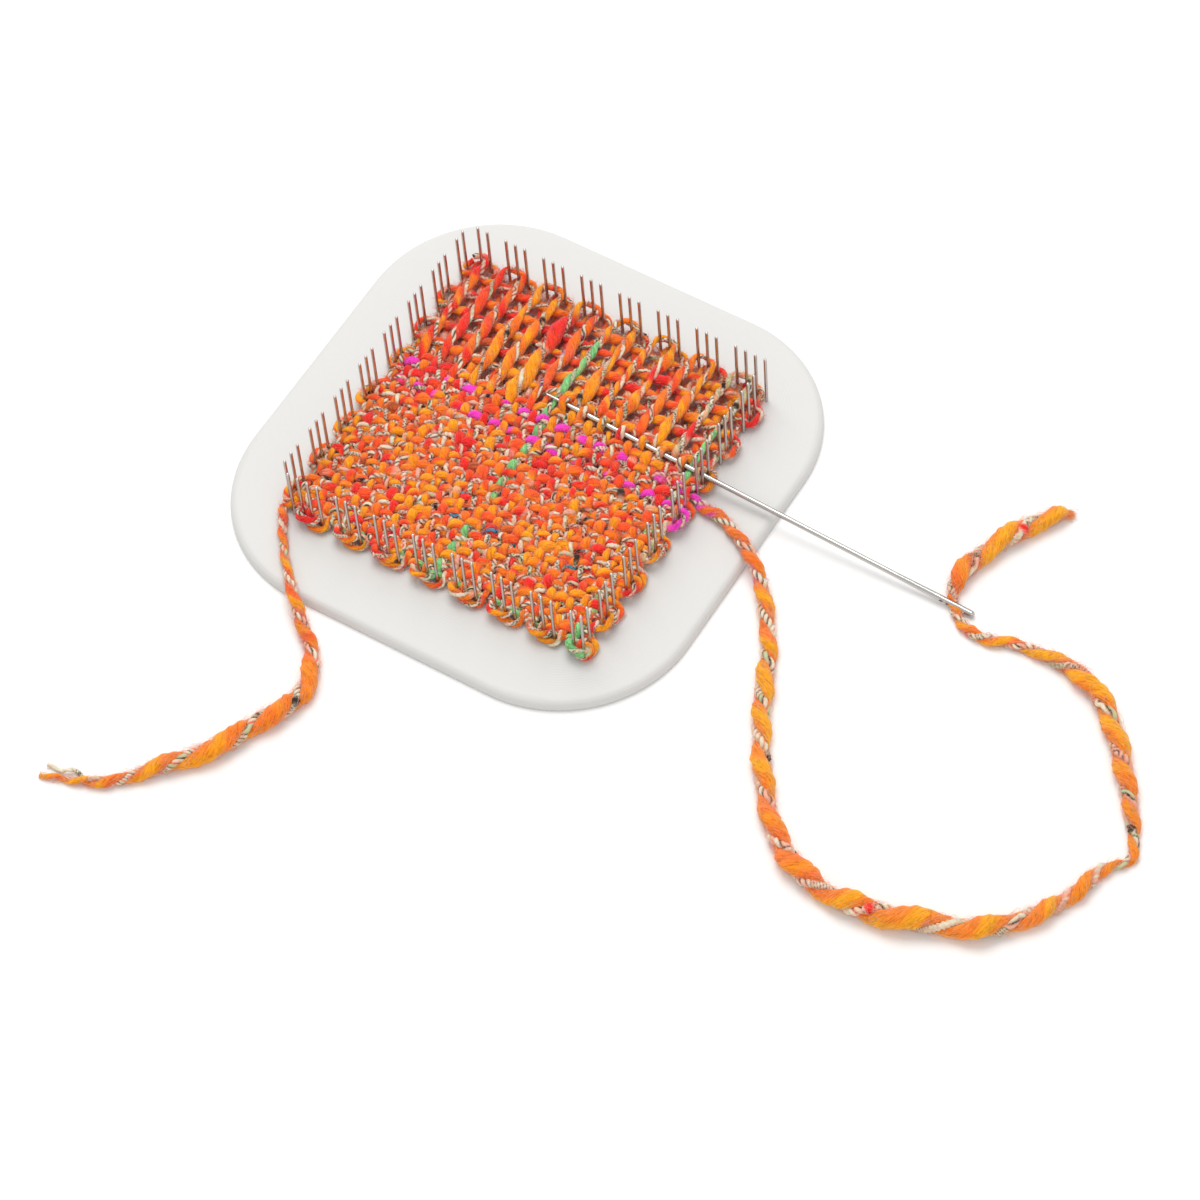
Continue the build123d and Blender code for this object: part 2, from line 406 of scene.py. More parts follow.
class Yarn:
    """One length of the yarn: a soft core with a thin two-ply binder wound round it.

    line is its middle in mm, core and binder the radii, high and wide the squash of the
    section, all one value for each point; tones is the colours at each point. offset is how
    far the core is pushed away from the binder, in binder radii, and groove how wide the
    dark lines between the binder's plies are."""

    def __init__(self, line, core, binder, high, wide, tones, seed, offset=0.5, groove=0.62):
        self.line, self.core, self.binder = line, core, binder
        self.offset, self.groove = offset, groove
        self.high, self.wide, self.tones, self.seed = high, wide, tones, seed
        self.s = lengths(line)
        self.along, self.up, self.side = axes(line)
        pitch = 3.0 + 5.4 * core
        turn = 2 * math.pi / pitch * (1 + 0.25 * wander(self.s, 11.0, seed + 1))
        turned = np.cumsum(0.5 * (turn[1:] + turn[:-1]) * np.diff(self.s))
        self.phase = -np.concatenate([[0.0], turned])

    def add_core(self, piece, cut, sides):
        """The soft core along a slice of the points."""
        angle = corners_of(sides)
        phase, s = self.phase[cut, None], self.s[cut, None]
        core, binder = self.core[cut, None], self.binder[cut, None]
        own = angle[None, :] - phase
        gap = (own + math.pi) % (2 * math.pi) - math.pi
        # The section has a dent for the binder, and soft lobes that turn along the yarn
        dent = 1 - DENT_DEPTH * np.exp(-((gap / DENT_WIDTH) ** 2))
        lumps = 1 + 0.05 * np.sin(2 * own + 0.9 * s + self.seed) + 0.045 * np.sin(3 * own - 1.3 * s)
        lumps = lumps + 0.03 * np.sin(5 * own + 0.6 * s)
        reach = core * dent * lumps
        rise = reach * np.cos(angle) - self.offset * binder * np.cos(phase)
        across = reach * np.sin(angle) - self.offset * binder * np.sin(phase)
        rise, across = rise * self.high[cut, None], across * self.wide[cut, None]
        up, side = self.up[cut, None], self.side[cut, None]
        rings = self.line[cut, None] + up * rise[..., None] + side * across[..., None]
        # Its two colours lie on opposite sides, and the dent under the binder gets painted shade, a
        # little darker
        facing = smooth((0.5 + 0.5 * np.sin(own + 1.2 * np.sin(0.35 * s) + 1.0)) * 1.6 - 0.3)
        shades = mix(self.tones["one"][cut, None], self.tones["two"][cut, None], facing)
        shades = shades * (1 - 0.25 * np.exp(-((gap / 0.5) ** 2)))[..., None]
        grains = [np.broadcast_to(0.22 * s, own.shape)]
        grains += [core * 0.85 * np.cos(own), core * 0.85 * np.sin(own)]
        piece.tube(rings, shades, np.stack(grains, -1) + self.seed * 7.3, CORE_SLOT)

    def add_binder(self, piece, first, last, sides, away=None):
        """The binder from one distance along the yarn to another, moved by away where given."""
        n = max(4, int(round((last - first) / BINDER_STEP)) + 1)
        s = np.linspace(first, last, n)

        def at(values):
            if values.ndim == 1:
                return np.interp(s, self.s, values)
            return np.stack([np.interp(s, self.s, column) for column in values.T], 1)

        line, up, side = at(self.line), unit(at(self.up)), unit(at(self.side))
        phase, core, binder = at(self.phase), at(self.core), at(self.binder)
        outward = up * np.cos(phase)[:, None] + side * np.sin(phase)[:, None]
        reach = core * BINDER_SEAT + 0.06 * binder
        middle = line + outward * reach[:, None]
        if away is not None:
            middle = middle + away(s)
        along = unit(np.gradient(middle, axis=0))
        outward = unit(outward - along * (outward * along).sum(1)[:, None])
        beside = np.cross(along, outward)
        angle = corners_of(sides)
        # Two plies twisted together, with a dark line in each groove between them
        spin = 2 * math.pi * s / (1.6 + 1.7 * binder) + 0.8 * wander(s, 5.0, self.seed + 5)
        own = angle[None, :] - spin[:, None]
        thick = binder[:, None] * (1 + 0.24 * np.cos(2 * own))
        rings = middle[:, None] + outward[:, None] * (thick * np.cos(angle))[..., None]
        rings = rings + beside[:, None] * (thick * np.sin(angle))[..., None]
        high, wide = at(self.high)[:, None, None], at(self.wide)[:, None, None]
        rings = squashed(rings, line[:, None], up[:, None], side[:, None], high, wide)
        cosine = np.cos(own)
        ply = smooth(cosine * 2 + 0.5)
        shades = mix(at(self.tones["ply"])[:, None], at(self.tones["pale"])[:, None], ply)
        groove = smooth(1.7 * np.exp(-((cosine / self.groove) ** 2)) - 0.25)
        groove = groove * at(self.tones["lined"])[:, None]
        first_line, second_line = groove * (np.sin(own) > 0), groove * (np.sin(own) <= 0)
        shades = mix(shades, at(self.tones["line"])[:, None], first_line)
        shades = mix(shades, at(self.tones["fleck"])[:, None], 0.9 * second_line)
        distance = np.broadcast_to(0.5 * s[:, None], own.shape)
        grains = np.stack([distance, np.cos(own), np.sin(own)], -1)
        piece.tube(rings, shades, grains + self.seed * 3.1, BINDER_SLOT)

    def add_fuzz(self, piece, first, last, count, seed, joints=4, pale=0.12):
        """Loose fibres that stand off the core; joints is the rings of each, pale its whiteness."""
        draw = np.random.default_rng(seed)
        index = np.searchsorted(self.s, draw.uniform(first, last, count))
        index = np.clip(index, 1, len(self.s) - 2)
        angle = draw.uniform(0, 2 * math.pi, count)[:, None]
        line, along = self.line[index], self.along[index]
        core = self.core[index, None]
        up = self.up[index] * self.high[index, None]
        side = self.side[index] * self.wide[index, None]
        outward = up * np.cos(angle) + side * np.sin(angle)
        beside = np.cross(along, outward)
        lean = along * draw.choice([-1, 1], (count, 1)) * draw.uniform(0.5, 1.2, (count, 1))
        lean = lean + beside * draw.uniform(-0.8, 0.8, (count, 1))
        lean = lean + outward * draw.uniform(0.15, 0.6, (count, 1))
        curl = beside * draw.uniform(-1, 1, (count, 1))
        curl = curl - outward * draw.uniform(0.0, 0.8, (count, 1))
        long = draw.uniform(0.8, 2.6, (count, 1)) * np.clip(core, 0.7, 1.4)
        # Each fibre starts just inside the core, leans off it and curls back
        t = np.linspace(0, 1, joints)[None, :, None]
        off = (outward * core * 0.86)[:, None] + (lean * long)[:, None] * t
        off = off + (curl * long)[:, None] * t * t
        reach = (off * along[:, None]).sum(-1, keepdims=True) * along[:, None]
        off = off - reach
        far = np.linalg.norm(off, axis=-1, keepdims=True)
        most = np.minimum(core + 0.9, 3.3)[:, None]
        path = line[:, None] + reach + off * np.minimum(1, most / np.maximum(far, 1e-6))
        path[..., 2] = np.maximum(path[..., 2], 0.06)
        radius = (0.055 - 0.03 * t)[..., None]
        rings = hair_rings(path, radius, *hair_sections(path, [0.31, 0.17, 0.93]))
        tone = mix(self.tones["one"][index], self.tones["two"][index], draw.uniform(0, 1, count))
        piece.hairs(rings, tone * (0.96 - pale) + pale, FUZZ_SLOT)

    def add_tuft(self, piece, count, seed):
        """Loose fibres that run on past the cut end."""
        draw = np.random.default_rng(seed)
        along, up, side = self.along[-1], self.up[-1], self.side[-1]
        angle = draw.uniform(0, 2 * math.pi, (count, 1))
        outward = up * np.cos(angle) * 0.7 + side * np.sin(angle)
        start = self.line[-4] + outward * draw.uniform(0.2, 1.3, (count, 1))
        far = draw.uniform(1.0, 3.4, (count, 1))
        lean = along + outward * draw.uniform(-0.25, 0.4, (count, 1))
        t = np.linspace(0, 1, 4)[None, :, None]
        path = start[:, None] + (lean * far)[:, None] * t
        path = path - (outward * far * draw.uniform(0, 0.35, (count, 1)))[:, None] * t * t
        path[..., 2] = np.maximum(path[..., 2], 0.1)
        rings = hair_rings(path, (0.10 - 0.06 * t)[..., None], up, side)
        tone = mix(self.tones["one"][-1], self.tones["two"][-1], draw.uniform(0, 1, count))
        piece.hairs(rings, tone, FUZZ_SLOT)

    def fleck(self, middle, tone, half=1.0):
        """A short swollen bit of the binder in another colour, at a distance along the yarn."""
        here = np.exp(-(((self.s - middle) / half) ** 4))
        self.binder = self.binder * (1 + 0.4 * here)
        for key in ("ply", "pale", "line", "fleck"):
            self.tones[key] = mix(self.tones[key], tone, here)


def plain_tones(s, seed, red=0.0, reach=1.0):
    """Colours along the yarn: orange with stretches of yellow, coral, red and rust.

    one and two are the core's two colours, pale and ply the binder's two plies, line and
    fleck the dark lines between them, and lined how strong those lines are. red makes
    redder yarn, and reach makes longer stretches."""
    n = len(s)
    on_loom = reach < 2
    one = np.tile(YELLOW, (n, 1))
    two = np.tile(CORAL, (n, 1))
    one = mix(one, ORANGE, smooth(wander(s, 8.0 * reach, seed + 11) * 2.2))
    two = mix(two, ORANGE, smooth(wander(s, 10.0 * reach, seed + 12) * 2.0 + 0.2))
    reds = smooth((wander(s, 6.5, seed + 13) + red - 0.42) * 4)
    one, two = mix(one, CORAL, reds), mix(two, RED, reds)
    deep = smooth((wander(s, 5.0, seed + 14) + 0.8 * red - 0.66) * 7)
    one, two = mix(one, RED, deep), mix(two, RED, deep)
    rust = smooth((wander(s, 4.0, seed + 15) + red - 0.80) * 8)
    one = mix(one, RUST, rust)
    light = smooth((wander(s, 4.0, seed + 23) + 0.3 * red - 0.84) * 8) * on_loom
    one, two = mix(one, PINK, 0.8 * light), mix(two, CREAM, 0.6 * light)
    pale = mix(np.tile(CREAM, (n, 1)), PINK, smooth(wander(s, 9.0, seed + 16) * 3 - 0.6))
    ply = mix(np.tile(CREAM, (n, 1)), PINK, smooth(wander(s, 6.0, seed + 17) * 2 + 0.1))
    ply = mix(ply, SAGE, smooth(wander(s, 8.0, seed + 18) * 3 - 1.0))
    line = mix(np.tile(BLACK, (n, 1)), BROWN, smooth(wander(s, 5.0, seed + 19) * 3 - 1.2))
    fleck = mix(np.tile(BLACK, (n, 1)), RED, smooth(wander(s, 4.0, seed + 22) * 3 - 0.2))
    lined = smooth(wander(s, 6.0, seed + 20) * 2 + 1.3)
    dark = smooth((wander(s, 2.0, seed + 21) + 0.08 * on_loom - 0.86) * 12)
    pale, ply = mix(pale, BLACK, dark), mix(ply, BLACK, dark)
    core_tones = {"one": one, "two": two}
    binder_tones = {"pale": pale, "ply": ply, "line": line, "fleck": fleck, "lined": lined}
    return core_tones | binder_tones


# ---------------------------------------------------------------- free yarn

# The routes of the free yarn, in metres: out to the far turn, back to the needle's eye,
# through it, and on to the cut end; then the start tail
WORKING_ROUTE = [
    (0.0514, 0.0082, 0.0053), (0.0568, 0.0078, 0.0052), (0.0626, 0.0062, 0.0052),
    (0.0688, 0.0029, 0.0054), (0.0754, -0.0012, 0.0050), (0.0806, -0.0066, 0.0029),
    (0.0862, -0.0138, 0.0020), (0.0924, -0.0230, 0.0020), (0.0974, -0.0352, 0.0020),
    (0.1046, -0.0485, 0.0020), (0.1132, -0.0614, 0.0020), (0.1240, -0.0736, 0.0020),
    (0.1375, -0.0806, 0.0020), (0.1548, -0.0810, 0.0020), (0.1718, -0.0755, 0.0020),
]
RETURN_ROUTE = [
    (0.1861, -0.0698, 0.0020), (0.1955, -0.0580, 0.0020), (0.2012, -0.0462, 0.0020),
    (0.2025, -0.0372, 0.0020), (0.2092, -0.0318, 0.0020), (0.2045, -0.0232, 0.0020),
    (0.1966, -0.0120, 0.0020),
    (0.1884, -0.0018, 0.0020), (0.1796, 0.0076, 0.0020), (0.1688, 0.0130, 0.0020),
    (0.1574, 0.0136, 0.0020), (0.1476, 0.0128, 0.0020), (0.1410, 0.0098, 0.0020),
    (0.1348, 0.0106, 0.0020), (0.1307, 0.0130, 0.0020),
]
EYE = (0.1281, 0.0157, 0.0020)
END_ROUTE = [
    (0.1266, 0.0181, 0.0020), (0.1250, 0.0218, 0.0020), (0.1258, 0.0281, 0.0020),
    (0.1278, 0.0355, 0.0020), (0.1312, 0.0431, 0.0020), (0.1357, 0.0514, 0.0020),
    (0.1416, 0.0584, 0.0020),
]
TAIL_ROUTE = [
    (-0.0502, -0.0488, 0.0051), (-0.0468, -0.0544, 0.0051), (-0.0424, -0.0604, 0.0051),
    (-0.0376, -0.0660, 0.0052), (-0.0324, -0.0714, 0.0054), (-0.0264, -0.0772, 0.0038),
    (-0.0198, -0.0818, 0.0019), (-0.0146, -0.0878, 0.0019), (-0.0114, -0.0954, 0.0019),
    (-0.0128, -0.1044, 0.0019), (-0.0178, -0.1120, 0.0019), (-0.0204, -0.1208, 0.0019),
    (-0.0262, -0.1292, 0.0019), (-0.0334, -0.1370, 0.0019), (-0.0398, -0.1450, 0.0019),
    (-0.0488, -0.1508, 0.0019), (-0.0604, -0.1538, 0.0019),
]

# Heights of the routes over the table where the yarn lies on it, in mm
YARN_LAY = 2.0
TAIL_LAY = 1.9

# Width of the yarn at distances along it, both in mm, and the lengths that they are for
WORKING_LENGTH = 380.0
TAIL_LENGTH = 142.6
WORKING_WIDTHS = [
    (0, 2.9), (17, 2.9), (36, 3.8), (53, 4.0), (69, 4.9), (88, 4.4), (107, 5.0), (124, 6.0),
    (137, 5.1), (150, 6.8), (168, 6.0), (184, 5.4), (194, 4.6), (204, 4.0), (214, 3.8),
    (219, 3.1), (222, 1.9), (227, 2.1), (237, 3.2), (245, 4.2), (270, 5.0), (283, 5.0),
    (291, 4.6), (297, 3.8), (303, 2.8), (311, 2.6), (318, 3.0), (326, 2.3), (333, 2.4),
    (340, 4.8), (348, 5.6), (355, 4.6), (362, 5.8), (369, 5.2), (373, 5.0), (376, 4.6),
    (378.5, 3.4), (380, 1.6),
]
TAIL_WIDTHS = [
    (0, 2.0), (22, 2.3), (35, 3.4), (48, 3.7), (60, 5.0), (72, 5.6), (84, 5.9), (92, 5.6),
    (102, 5.8), (112, 3.9), (120, 3.1), (128, 2.6), (134, 1.8), (150, 1.2),
]

# The height and width of the free yarn's core as shares of a round one's, and the largest
# radius that it has, in mm
FREE_HIGH = 0.86
FREE_WIDE = 1.04
FREE_CORE_MOST = 3.15

# Coloured bits of the binder at distances along the working yarn, in mm
WORKING_FLECKS = [(88, BLACK), (148, RED), (233, BLACK), (318, RED), (360, RED)]

# In the needle's eye the yarn is squeezed to this share of its height, over this half
# length in mm, and its middle is at this height in mm
EYE_SQUEEZE = 0.34
EYE_REACH = 2.4
EYE_MIDDLE = 1.45

# The tail's last stretch, in mm, where its binder has come away from the core
STRAY_LENGTH = 19.0


def free_yarn(line, widths, lay, seed, length, red, light, thread):
    """The yarn where it lies on the plate and the table.

    length is the one that its widths are for, red how red it is, light how pale, and
    thread how thick its binder is."""
    s = lengths(line)
    s = s * (length / s[-1])
    width = np.interp(s, [w[0] for w in widths], [w[1] for w in widths])
    width = width * (1 + 0.09 * wander(s, 6.0, seed) + 0.05 * wander(s, 2.2, seed + 2))
    core = np.minimum(width / 2 / FREE_WIDE, FREE_CORE_MOST)
    binder = np.minimum(0.50 + 0.17 * core, 0.8 * core) * thread
    high = np.full(len(s), FREE_HIGH)
    wide = np.full(len(s), FREE_WIDE)
    tones = plain_tones(s, seed, red, 3.0)
    tones["one"] = mix(tones["one"], PALE_ORANGE, 0.35 * light)
    tones["two"] = mix(tones["two"], DEEP_ORANGE, 0.62 * light)
    line = line.copy()
    line[:, 2] += core * high * 1.1 - lay + 0.05
    return Yarn(line, core, binder, high, wide, tones, seed, offset=0.68, groove=0.48)


def nearest(line, place):
    """The number of the point of a line, in mm, that is nearest to a place in metres."""
    return int(np.argmin(np.linalg.norm(line - np.array(place) / MM, axis=1)))


working_line = even(spline(WORKING_ROUTE + RETURN_ROUTE + [EYE] + END_ROUTE), CORE_STEP)
turning = nearest(working_line, WORKING_ROUTE[-1])
eye_index = nearest(working_line, EYE)
working = free_yarn(
    working_line, WORKING_WIDTHS, YARN_LAY, 41, WORKING_LENGTH, red=-0.6, light=1.0, thread=1.0
)
s = working.s
# The first 26 mm are pinker
near_exit = 1 - smooth((s - 26) / 8)
pinked = smooth(wander(s, 5.0, 77) * 3 + 0.4) * near_exit
working.tones["two"] = mix(working.tones["two"], MAGENTA, pinked)
working.tones["one"] = mix(working.tones["one"], CORAL, 0.6 * near_exit)
for place, tone in WORKING_FLECKS:
    working.fleck(place, tone)
squeeze = np.exp(-(((s - s[eye_index]) / EYE_REACH) ** 4))
working.high = working.high * (1 - squeeze) + EYE_SQUEEZE * squeeze
working.line[:, 2] = working.line[:, 2] * (1 - squeeze) + EYE_MIDDLE * squeeze

working_out = Piece("working_yarn_out")
working.add_core(working_out, slice(0, turning + 1), FREE_CORE_SIDES)
working.add_binder(working_out, 0.0, s[turning], FREE_BINDER_SIDES)
working.add_fuzz(working_out, 0.5, s[turning], count=2600, seed=5, pale=0.24)
cord_out = working_out.build(None, "free_yarn", "working_yarn")
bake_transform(cord_out)

working_back = Piece("working_yarn_back")
working.add_core(working_back, slice(turning, len(s)), FREE_CORE_SIDES)
working.add_binder(working_back, s[turning], s[-1] - 4.0, FREE_BINDER_SIDES)
working.add_fuzz(working_back, s[turning], s[-1] - 0.6, count=3400, seed=6, pale=0.24)
working.add_tuft(working_back, count=170, seed=9)
cord_back = working_back.build(
    "needle", "free_yarn", "working_yarn_return", "working_yarn_end", "eye_yarn"
)

tail = free_yarn(
    even(spline(TAIL_ROUTE), CORE_STEP), TAIL_WIDTHS, TAIL_LAY, 63, TAIL_LENGTH,
    red=-0.3, light=0.35, thread=0.85,
)
tail.fleck(67.0, BLACK)


def stray(s):
    """The binder leaves the core near the cut end and lies beside it."""
    split = tail.s[-1] - STRAY_LENGTH
    t = np.clip((s - split) / STRAY_LENGTH, 0, 1)[:, None]
    return smooth(1.6 * t) * np.array([[-0.5, 2.8, 0.0]])


tail_piece = Piece("start_tail_yarn")
tail.add_core(tail_piece, slice(0, len(tail.s)), FREE_CORE_SIDES)
tail.add_binder(tail_piece, 0.0, tail.s[-1] - 0.8, FREE_BINDER_SIDES, stray)
tail.add_fuzz(tail_piece, 0.5, tail.s[-1] - 0.6, count=2200, seed=7, pale=0.24)
cord_tail = tail_piece.build("loom", "free_yarn", "start_tail")

# ---------------------------------------------------------------- yarn on the pins

# Places on the pins are in steps of the lattice, from the front left pin. Heights are in mm.

# The needle's axis is this high at the middle of its eye, which is this far right of the
# loom's middle, and rises this much for each mm to the left
EYE_HEIGHT = 0.95
EYE_RIGHT = 134.7
NEEDLE_SLOPE = 0.0752

# How far strands rise and fall where they are woven, how far the loops of the upper and
# lower layers lie above and below the middle, and half the yarn beside the needle
WEAVE_RISE = 0.8
UPPER_LOOP = 0.95
LOWER_LOOP = -1.0
HALF_YARN = 0.9

# The needle crosses the columns to the right of this one
NEEDLE_TIP_COLUMN = 15

# The middle of the cloth is this far above the plate, and this much more among the open
# strands; the needle passes this far above the middle
CLOTH_MIDDLE = 2.2
OPEN_RISE = 0.5
NEEDLE_OVER_MIDDLE = 1.0


def needle_height(x):
    """Height of the needle's axis over column x."""
    return EYE_HEIGHT + (EYE_RIGHT - (x * STEP - HALF)) * NEEDLE_SLOPE


def middle_height(x, y):
    """Height of the middle of the cloth, which the needle lifts round its row."""
    base = PLATE + CLOTH_MIDDLE + OPEN_RISE * smooth((y - 18) / 5)
    at_needle = needle_height(np.maximum(x, 15.5)) - NEEDLE_OVER_MIDDLE
    raised = at_needle - (PLATE + CLOTH_MIDDLE + 0.5 * OPEN_RISE)
    # The lift fades out left of the tip, and in front of and behind the needle's row
    left = np.where(x < 14, 0.5 * x / 14, 0.5 + 0.5 * smooth((x - 14) / 1.7))
    behind = np.clip(1 - (y - NEEDLE_ROW) / 10.5, 0, 1)
    ahead = 1 - smooth((NEEDLE_ROW - y) / 5)
    return base + raised * np.clip(left, 0, 1) * np.where(y > NEEDLE_ROW, behind, ahead)


def wave(y):
    """How far strands rise and fall at row y."""
    return WEAVE_RISE * (1 - smooth((y - WOVEN_ROWS) / 4))


def upright_height(x, y, top):
    """Height of a strand that runs front to back: first layer, or third with top set."""
    turn = -1 if top else 1
    middle = middle_height(x, y)
    woven = middle + turn * WEAVE_RISE * np.cos(math.pi * (y - 0.5))
    free = middle + turn * (wave(y) - 2 * WEAVE_RISE)
    height = np.where(y < WOVEN_ROWS, woven, free)
    near = np.cos(0.5 * math.pi * (y - NEEDLE_ROW)) ** 2
    near = np.where(np.abs(y - NEEDLE_ROW) < 1, near, 0)
    if top:
        held = np.minimum(height, needle_height(x) - NEEDLE_RADIUS - HALF_YARN)
        near = near * (x > NEEDLE_TIP_COLUMN)
    else:
        held = needle_height(x) + NEEDLE_RADIUS + HALF_YARN
        near = near * (x > NEEDLE_TIP_COLUMN + 1)
    height = height + (held - height) * near
    loop = middle + (UPPER_LOOP if top else LOWER_LOOP)
    return height + (loop - height) * smooth(0.7 - y)


def cross_height(x, y, top):
    """Height of a row that runs left to right: second layer, or fourth with top set."""
    turn = -1 if top else 1
    middle = middle_height(x, y)
    height = middle + turn * wave(y) * np.cos(math.pi * (x - 0.5))
    loop = middle + (UPPER_LOOP if top else LOWER_LOOP)
    outside = np.maximum(0.7 - x, x - (STEPS - 0.7))
    return height + (loop - height) * smooth(outside)


# A loop round the back pins, from one column to the next: columns on, and row
BACK_TURN = [
    (0.0, 30.4), (0.0, 30.9), (0.12, 31.32), (0.5, 31.56),
    (1.5, 31.56), (1.88, 31.32), (2.0, 30.9), (2.0, 30.4),
]


def upright_route(columns, first_up):
    """A yarn going up and down the given columns, with loops round the pins between them."""
    points = []
    for k, column in enumerate(columns):
        up = first_up == (k % 2 == 0)
        run = [(column, y) for y in np.arange(0.6, 30.45, 0.2)]
        points += run if up else run[::-1]
        if k + 1 < len(columns):
            for dx, y in BACK_TURN:
                points.append((column + dx, y if up else STEPS - y))
    return points


def cross_route(rows, first_left):
    """The same for rows, looping round the left and right pins."""
    return [(STEPS - y, x) if first_left else (y, x) for x, y in upright_route(rows, True)]


# Each layer starts where the one before it ends, at a corner of the loom
first_route = [(-0.31, 0.13), (-0.1, 0.2), (0.2, 0.32), (0.42, 0.5)]
first_route += upright_route(np.arange(0.5, STEPS, 2), True)
first_route += [(30.5, 0.3), (30.55, -0.2), (30.75, -0.48), (31.1, -0.5)]
first_route += [(31.42, -0.3), (31.5, 0.1)]
second_route = [(31.5, 0.1), (31.52, 0.6), (31.42, 1.1), (31.1, 1.42), (30.8, 1.5)]
second_route += cross_route(np.arange(1.5, 30, 2), True)
second_route += [(0.3, 29.5), (-0.2, 29.56), (-0.48, 29.8), (-0.5, 30.2), (-0.3, 30.6), (0.1, 31.0)]
third_route = [(0.1, 31.0), (0.5, 31.4), (0.9, 31.54), (1.3, 31.4), (1.5, 31.0), (1.5, 30.7)]
third_route += upright_route(np.arange(1.5, 30, 2), False)
third_route += [(29.5, 0.3), (29.56, -0.2), (29.85, -0.5), (30.4, -0.54)]
third_route += [(30.9, -0.54), (31.35, -0.4)]
fourth_route = [(31.35, -0.4), (31.54, -0.05), (31.4, 0.3), (31.1, 0.46), (30.8, 0.5)]
fourth_route += cross_route(np.arange(0.5, 18, 2), True)
fourth_route += [(0.5 + k * 0.2, 18.5) for k in range(1, 151)]
fourth_route += [(31.0, 18.42), (31.4, 18.25), (31.69, 18.08)]

# Loose fibres on each layer, and between the open strands
LOOM_HAIRS = 13500
HAZE_HAIRS = 9500

# Seeds of the layers' random draws
LOOM_SEEDS = {"first": 101, "second": 211, "third": 307, "fourth": 401}

# Heights that the first and last stretch of a layer comes to, and that stretch's steps
STARTS = {"first": (5.1, 1.4), "second": (4.2, 1.2), "fourth": (6.1, 1.2)}
ENDS = {"fourth": (5.3, 1.6)}

# The open strands of the third layer: column, from, to, and their two colours
STRAND_TONES = [
    (1.5, 18, 24, ORANGE, RED), (3.5, 18, 32, RED, CORAL), (5.5, 18, 32, RED, ORANGE),
    (7.5, 18, 32, YELLOW, ORANGE), (9.5, 18, 32, YELLOW, ORANGE), (11.5, 18, 25, YELLOW, YELLOW),
    (11.5, 25, 30, RED, RED), (13.5, 18, 32, CORAL, ORANGE), (17.5, 18, 32, YELLOW, ORANGE),
    (19.5, 18, 32, YELLOW, CORAL), (21.5, 18, 32, YELLOW, ORANGE), (23.5, 18, 32, ORANGE, CORAL),
    (25.5, 18, 32, YELLOW, ORANGE),
]


def near_spot(x, y, spots, reach):
    """1 near any of the spots, in pin steps, falling to 0 within reach."""
    out = np.zeros(len(x))
    for sx, sy in spots:
        out = np.maximum(out, np.exp(-(((x - sx) ** 2 + (y - sy) ** 2) / reach ** 2) ** 4))
    return out


# Where each layer has black bits in its binder, and where the yarn's core is red
BLACK_SPOTS = {
    "first": [(24.5, 19.9)],
    "second": [(10.5, 5.5)],
    "third": [(17.5, 22.6), (25.5, 15.7), (9.5, 26.1), (7.5, 24.5), (29.5, 28.4)],
    "fourth": [(5.6, 12.5), (11.5, 16.5), (15.4, 10.5), (3.5, 4.5), (21.5, 2.5)],
}
RED_SPOTS = [
    (10.6, 13.0), (3.6, 18.3), (11.3, 28.0), (1.3, 30.2), (17.5, 14.5), (2.0, -0.2), (21.4, 16.6),
    (31.4, 27.6), (31.2, 29.6), (27.5, 24.0), (22.0, 27.5),
]

# Thick places of each layer: column, row, half length, and how many times as thick
SLUBS = {
    "first": [(8.5, 14.0, 1.4, 1.35), (20.5, 9.0, 1.2, 1.35)],
    "second": [(12.0, 13.5, 1.5, 1.4), (24.0, 7.5, 1.4, 1.35), (6.0, 9.5, 1.3, 1.35)],
    "third": [
        (11.5, 21.0, 2.0, 1.75), (9.5, 21.9, 2.0, 1.35), (13.5, 20.9, 1.6, 1.25),
        (17.5, 22.5, 1.9, 1.35), (21.5, 23.6, 1.9, 1.5), (25.5, 22.0, 2.0, 1.4),
        (11.5, 27.5, 1.5, 1.55), (7.5, 25.4, 1.6, 1.25), (9.5, 27.4, 1.5, 1.3),
        (21.5, 28.4, 1.4, 1.2), (5.5, 27.6, 1.7, 1.25), (19.5, 20.8, 1.6, 1.2),
        (7.5, 7.5, 1.2, 1.5), (14.0, 11.5, 1.2, 1.5), (30.3, -0.5, 0.5, 1.5),
    ],
    "fourth": [
        (10.0, 8.5, 1.3, 1.6), (17.0, 6.5, 1.3, 1.5), (6.0, 4.5, 1.2, 1.5), (16.5, 12.5, 1.2, 1.4),
    ],
}


def thickness(name, kind, x, y):
    """How much thicker or thinner than usual the core is on the pins."""
    out = np.ones(len(x))
    for column, place, half, most in SLUBS[name]:
        if kind == "cross":
            near = (np.abs(y - place) < 0.9) * np.exp(-(((x - column) / half) ** 2))
        else:
            near = (np.abs(x - column) < 0.9) * np.exp(-(((y - place) / half) ** 2))
        out = out * (1 + (most - 1) * near)
    if name == "third":
        drawn = (np.abs(x - 15.5) < 0.4) * smooth((y - 18) / 2)
        drawn = np.maximum(drawn, (x > 26.6) * smooth((y - 17) / 2))
        out = out * (1 - 0.30 * drawn)
    return out


